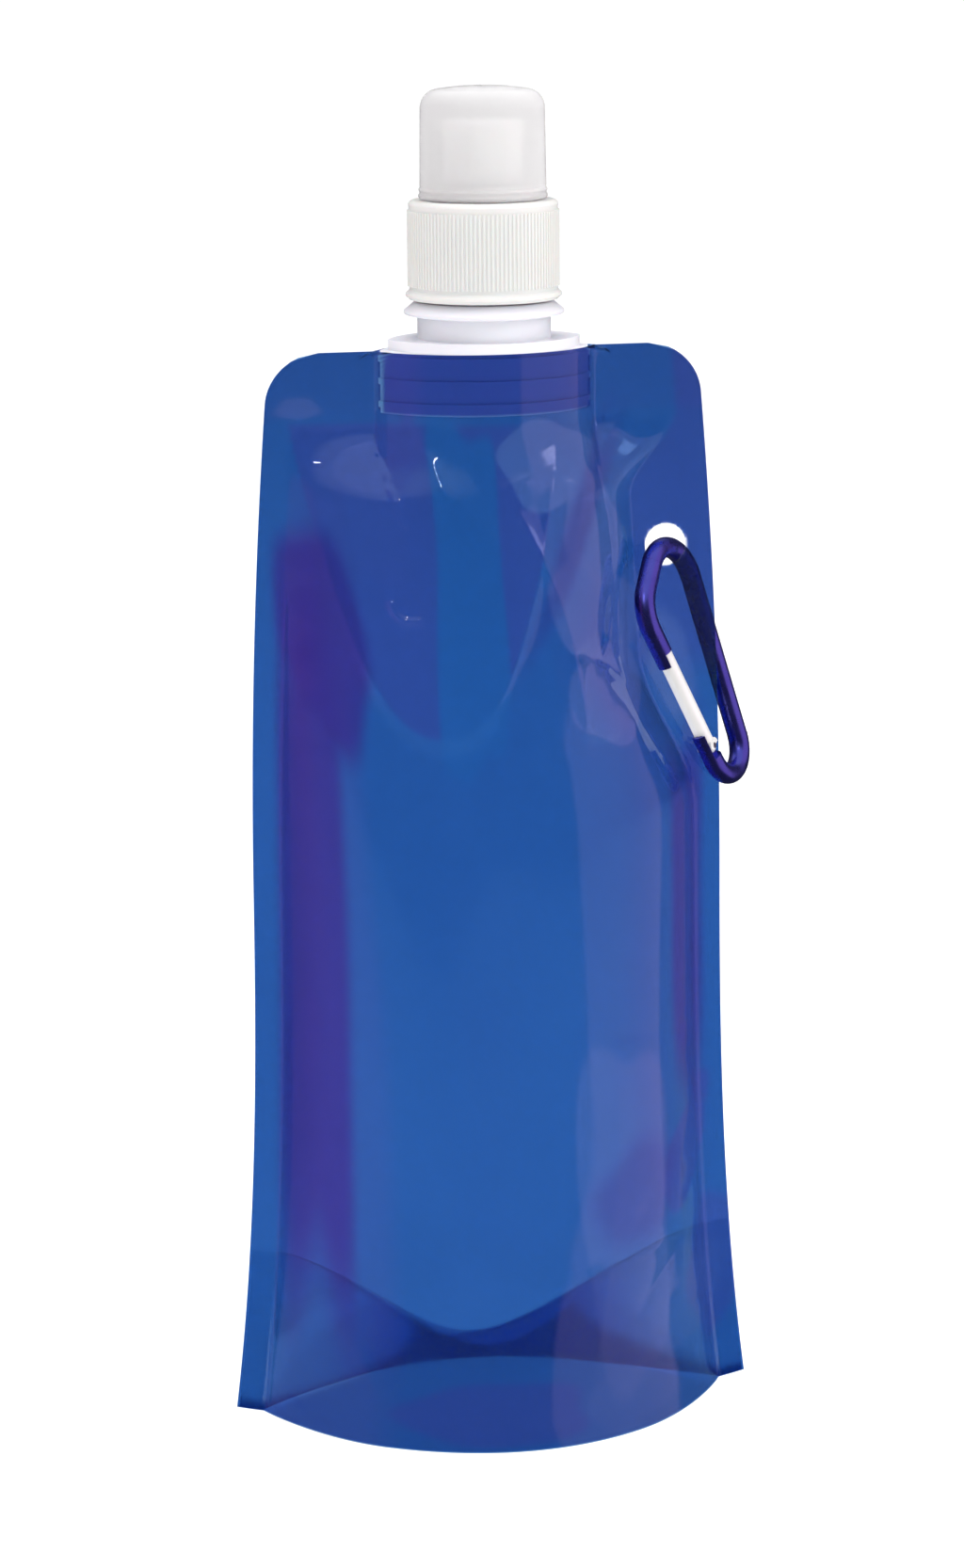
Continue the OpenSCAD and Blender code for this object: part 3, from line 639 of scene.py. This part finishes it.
GUSSET_INSET = 0.6      # how far its edges stay inside the panels' outline, in mm
GUSSET_RAISE = 0.15     # how far it stays off the floor, in mm
# share of the painted low shade on the back leg
BACK_LEG = 0.2          # share of the low tint on the leg next to the back panel


def make_gusset(name, material):
    """The third sheet: up inside the front panel, over the middle and down inside the back."""
    across, along = 120, 61
    s, p = np.meshgrid(np.linspace(-1, 1, across), np.linspace(0, math.pi, along), indexing="ij")
    foot_x = s * (FOOT_HALF - GUSSET_INSET)
    foot = belly(foot_x, np.zeros_like(s))
    rise = np.sqrt(np.maximum(9, GUSSET ** 2 - foot ** 2))
    z0 = rise * np.abs(np.sin(p)) ** 1.15
    x = s * (outline(z0) - GUSSET_INSET)
    reach = np.minimum(foot * np.abs(np.cos(p)) ** 0.8, belly(x, z0) - 0.05)
    y = -np.sign(np.cos(p)) * np.maximum(reach - FILM, 0.02)
    y = np.where(np.abs(np.cos(p)) < 1e-6, 0, y)
    points = np.stack([x, y, z0 + lift(x, z0) + GUSSET_RAISE], -1).reshape(-1, 3)
    obj = new_object(name, points, grid_faces(across, along), material)
    tint = np.zeros(x.shape + (3,)) + FOOT_SIDES
    # painted shade in the gusset's middle and low on its front leg, fainter on the back leg
    middle = 1 - ease(12, 36, np.abs(x))
    low = (1 - ease(0, 3, z0 - 0.33 * 2 * foot)) * np.where(np.cos(p) > 0, 1, BACK_LEG)
    for share, shade in ((middle, FOOT_SHADE), (low, FOOT_LOW_SHADE)):
        tint = tint + (np.array(shade) - tint) * share[..., None]
    set_tint(obj.data, tint)
    thicken(obj)
    return obj


film = film_material("film", 1.45)
gusset_film = film_material("gusset_film", 1.06)
edge_material = film_edge()
front = make_panel("front_film", -1, 236, 370, film)
back = make_panel("back_film", 1, 140, 210, film)
gusset = make_gusset("gusset_film", gusset_film)
for sheet in (front, back, gusset):
    sheet.visible_diffuse = False    # soft light passes the clear film on its way to what it holds
gusset.visible_shadow = False
for piece, node in ((front, "front_panel"), (back, "back_panel"), (gusset, "bottom_gusset")):
    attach(piece, "root")
    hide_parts(node)


# ---------------------------------------------------------------- dust cover
def arc(cx, cz, radius, start, end, steps):
    """Points of a rounded corner in a lathe's profile, angles in degrees."""
    turns = [math.radians(start + (end - start) * k / steps) for k in range(steps + 1)]
    return [(cx + radius * math.cos(a), cz + radius * math.sin(a)) for a in turns]


def lathe(name, profile, material, sides=128):
    """A ring or dome round the Z axis; a profile that touches the axis closes on it."""
    mesh = bmesh.new()
    rings = []
    for r, z in profile:
        if r < 1e-6:
            rings.append([mesh.verts.new((0, 0, z * MM))])
            continue
        rings.append([mesh.verts.new((r * MM * math.cos(2 * math.pi * k / sides),
                                      r * MM * math.sin(2 * math.pi * k / sides), z * MM))
                      for k in range(sides)])
    for low, high in zip(rings, rings[1:] + rings[:1]):
        for k in range(sides):
            a, b = low[k % len(low)], low[(k + 1) % len(low)]
            c, d = high[(k + 1) % len(high)], high[k % len(high)]
            corners = [v for i, v in enumerate((a, b, c, d)) if v not in (a, b, c, d)[:i]]
            if len(corners) > 2:
                mesh.faces.new(corners)
    bmesh.ops.recalc_face_normals(mesh, faces=mesh.faces)
    data = bpy.data.meshes.new(name)
    mesh.to_mesh(data)
    mesh.free()
    data.materials.append(material)
    data.shade_smooth()
    obj = bpy.data.objects.new(name, data)
    bpy.context.scene.collection.objects.link(obj)
    return obj


COVER_LOW, COVER_HIGH = box_mm("dust_cover")
COVER_R = COVER_HIGH[0] - 0.1      # outer radius, in mm
COVER_WALL = 0.9


def make_cover(name, material):
    """Frosted dome with two fine beads round its foot and a rounded shoulder."""
    foot, top = COVER_LOW[2], COVER_HIGH[2]
    bore = COVER_R - COVER_WALL
    profile = [(bore, foot + 0.02), (bore + 0.1, foot), (COVER_R - 0.05, foot)]
    profile += arc(COVER_R - 0.4, foot + 0.5, 0.48, -60, 60, 8)
    profile += [(COVER_R - 0.15, foot + 1.15)]
    profile += arc(COVER_R - 0.45, foot + 1.7, 0.45, -50, 60, 8)
    profile += [(COVER_R - 0.2, foot + 2.3), (COVER_R - 0.2, foot + 2.6), (COVER_R - 0.24, foot + 6)]
    profile += [(COVER_R - 0.28, foot + 10), (COVER_R - 0.33, foot + 14), (COVER_R - 0.38, top - 4.6)]
    profile += arc(COVER_R - 4.1, top - 4.2, 3.72, 4, 82, 16)
    profile += [(COVER_R - 6.0, top - 0.22), (COVER_R - 7.2, top - 0.06), (2.5, top), (0, top)]
    profile += [(0, top - COVER_WALL), (2.5, top - COVER_WALL), (COVER_R - 7.2, top - COVER_WALL - 0.06)]
    profile += arc(bore - 3.35, top - COVER_WALL - 3.3, 3.15, 78, 5, 14)
    profile += [(bore - 0.15, foot + 12), (bore - 0.1, foot + 6), (bore - 0.02, foot + 2)]
    return lathe(name, profile, material)


cover = make_cover("cover_shell", frosted())
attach(cover, "cover")
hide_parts("dust_cover")

# ---------------------------------------------------------------- materials of the CAD nodes
NODE_MATERIALS = {
    "spout": plastic("spout_plastic", (0.68, 0.68, 0.73), (0.73, 0.73, 0.78), 0.33),
    "cap_liner": plastic("liner_foam", (0.66, 0.68, 0.70), (0.72, 0.74, 0.75), 0.6),
    "screw_cap": plastic("cap_plastic", (0.67, 0.66, 0.645), (0.72, 0.71, 0.695), 0.36),
    "pull_nozzle": plastic("nozzle_plastic", (0.66, 0.66, 0.66), (0.72, 0.72, 0.72), 0.35),
    "carabiner_body": metal("anodised", (0.11, 0.11, 0.58), (0.15, 0.15, 0.68), 0.27),
    "carabiner_gate": metal("gate_metal", (0.84, 0.83, 0.81), (0.92, 0.91, 0.89), 0.34, metallic=0.35),
    "gate_pivot_pin": metal("pin_steel", (0.45, 0.45, 0.46), (0.6, 0.6, 0.6), 0.3),
    "gate_spring": metal("spring_steel", (0.5, 0.5, 0.5), (0.6, 0.6, 0.6), 0.3),
    "spring_plunger": metal("plunger_steel", (0.5, 0.5, 0.5), (0.6, 0.6, 0.6), 0.3),
}
for node, material in NODE_MATERIALS.items():
    mesh = frame["nodes"][node].data
    for index in range(len(mesh.materials)):
        mesh.materials[index] = material

# ---------------------------------------------------------------- floor, light and camera
CAMERA_AZIMUTH = math.radians(-12)
CAMERA_DISTANCE = 1.0
CAMERA_HEIGHT = 0.325
CAMERA_PITCH = math.radians(11.03)
CAMERA_ROLL = math.radians(0.5)
CAMERA_SIDE = -0.0012       # a small step to its right
CAMERA_LENS = 116.25


def make_camera():
    data = bpy.data.cameras.new("camera")
    data.lens = CAMERA_LENS
    data.sensor_width = 36
    data.clip_end = 20
    camera = bpy.data.objects.new("camera", data)
    bpy.context.scene.collection.objects.link(camera)
    right = Vector((math.cos(CAMERA_AZIMUTH), math.sin(CAMERA_AZIMUTH), 0))
    ahead = Vector((-math.sin(CAMERA_AZIMUTH) * math.cos(CAMERA_PITCH),
                    math.cos(CAMERA_AZIMUTH) * math.cos(CAMERA_PITCH), -math.sin(CAMERA_PITCH)))
    up = right.cross(ahead)
    rolled_right = right * math.cos(CAMERA_ROLL) - up * math.sin(CAMERA_ROLL)
    rolled_up = up * math.cos(CAMERA_ROLL) + right * math.sin(CAMERA_ROLL)
    stand = Vector((math.sin(CAMERA_AZIMUTH) * CAMERA_DISTANCE,
                    -math.cos(CAMERA_AZIMUTH) * CAMERA_DISTANCE, CAMERA_HEIGHT))
    stand += right * CAMERA_SIDE
    turn = Matrix((rolled_right, rolled_up, -ahead)).transposed().to_4x4()
    camera.matrix_world = Matrix.Translation(stand) @ turn
    bpy.context.scene.camera = camera


FLOOR_HALF = 3000.0     # in mm


def make_floor():
    m = Nodes("floor_paper")
    m.link(m.ramp(m.noise(3, 2), [(0.3, (0.94, 0.94, 0.94)), (0.7, (0.96, 0.96, 0.96))]), "Base Color")
    m.set(Roughness=0.8, Emission_Color=(1, 1, 1, 1), Emission_Strength=0.05)
    corners = [(x * FLOOR_HALF, y * FLOOR_HALF, 0) for x, y in ((-1, -1), (1, -1), (1, 1), (-1, 1))]
    floor = new_object("floor", corners, [(0, 1, 2, 3)], m.material, smooth=False)
    floor.visible_glossy = False


def area_light(name, stand, target, size, power, mirrored=False):
    data = bpy.data.lights.new(name, "AREA")
    data.shape = "RECTANGLE"
    data.size, data.size_y = size
    data.energy = power
    light = bpy.data.objects.new(name, data)
    light.visible_glossy = mirrored
    bpy.context.scene.collection.objects.link(light)
    light.location = stand
    light.rotation_euler = (Vector(target) - Vector(stand)).to_track_quat("-Z", "Y").to_euler()


# what a gloss reflects
STUDIO_DARK = (0.05, 0.05, 0.07)
STUDIO_TOP = (0.55, 0.58, 0.65)
RIGHT_BOX = (0.58, 1.75, 0.05)     # start and end of the soft box in radians round from the front
RIGHT_LIGHT = (0.66, 0.45, 0.60)
LEFT_BOX = (-1.9, -1.05, 0.25)
LEFT_LIGHT = (0.34, 0.08, 0.26)


def make_world():
    """White all round; a gloss reflects a dark studio with a soft box on each side instead."""
    world = bpy.data.worlds.new("studio")
    bpy.context.scene.world = world
    world.use_nodes = True
    tree = world.node_tree
    new = tree.nodes.new

    def math_node(operation, *values, clamp=False):
        made = new("ShaderNodeMath")
        made.operation = operation
        made.use_clamp = clamp
        for socket, value in zip(made.inputs, values):
            if isinstance(value, bpy.types.NodeSocket):
                tree.links.new(value, socket)
            else:
                socket.default_value = value
        return made.outputs[0]

    def band(value, low, high, soft):
        rise = math_node("MULTIPLY_ADD", value, 1 / soft, 0.5 - low / soft, clamp=True)
        fall = math_node("MULTIPLY_ADD", value, -1 / soft, 0.5 + high / soft, clamp=True)
        return math_node("MULTIPLY", rise, fall)

    def mix(factor, low, high):
        made = new("ShaderNodeMix")
        made.data_type = "RGBA"
        sockets = (made.inputs[i] for i in MIX_INPUTS)
        for socket, value in zip(sockets, (factor, low, high)):
            if isinstance(value, bpy.types.NodeSocket):
                tree.links.new(value, socket)
            else:
                socket.default_value = (*value, 1)
        return made.outputs[MIX_OUTPUT]

    axes = new("ShaderNodeSeparateXYZ")
    tree.links.new(new("ShaderNodeTexCoord").outputs["Generated"], axes.inputs[0])
    x, y, z = axes.outputs
    turn = math_node("ARCTAN2", x, math_node("MULTIPLY", y, -1.0))  # 0 in front, positive to the right
    gloss = mix(band(z, 0.62, 1.2, 0.2), STUDIO_DARK, STUDIO_TOP)
    right_box = math_node("MULTIPLY", band(turn, *RIGHT_BOX), band(z, -0.55, 0.75, 0.1))
    gloss = mix(right_box, gloss, RIGHT_LIGHT)
    left_box = math_node("MULTIPLY", band(turn, *LEFT_BOX), band(z, -0.6, 0.8, 0.2))
    gloss = mix(left_box, gloss, LEFT_LIGHT)
    paths = new("ShaderNodeLightPath").outputs
    soft = mix(band(z, 0.1, 2.0, 1.0), (0.48, 0.48, 0.49), (1.1, 1.1, 1.1))
    colour = mix(paths["Is Diffuse Ray"], (1.06, 1.06, 1.06), soft)
    colour = mix(paths["Is Glossy Ray"], colour, gloss)
    tree.links.new(colour, tree.nodes["Background"].inputs["Color"])


make_world()
make_floor()
make_camera()
area_light("key", (0.85, -0.65, 0.8), (0, 0, 0.15), (0.3, 0.5), 4.0)
area_light("top", (0.0, 0.2, 1.7), (0, 0, 0), (2.0, 2.0), 22.0)
area_light("strip", (-0.35, -0.75, 0.95), (0, 0, 0.17), (0.025, 0.16), 0.6, mirrored=True)
bpy.context.scene.view_settings.view_transform = "Standard"
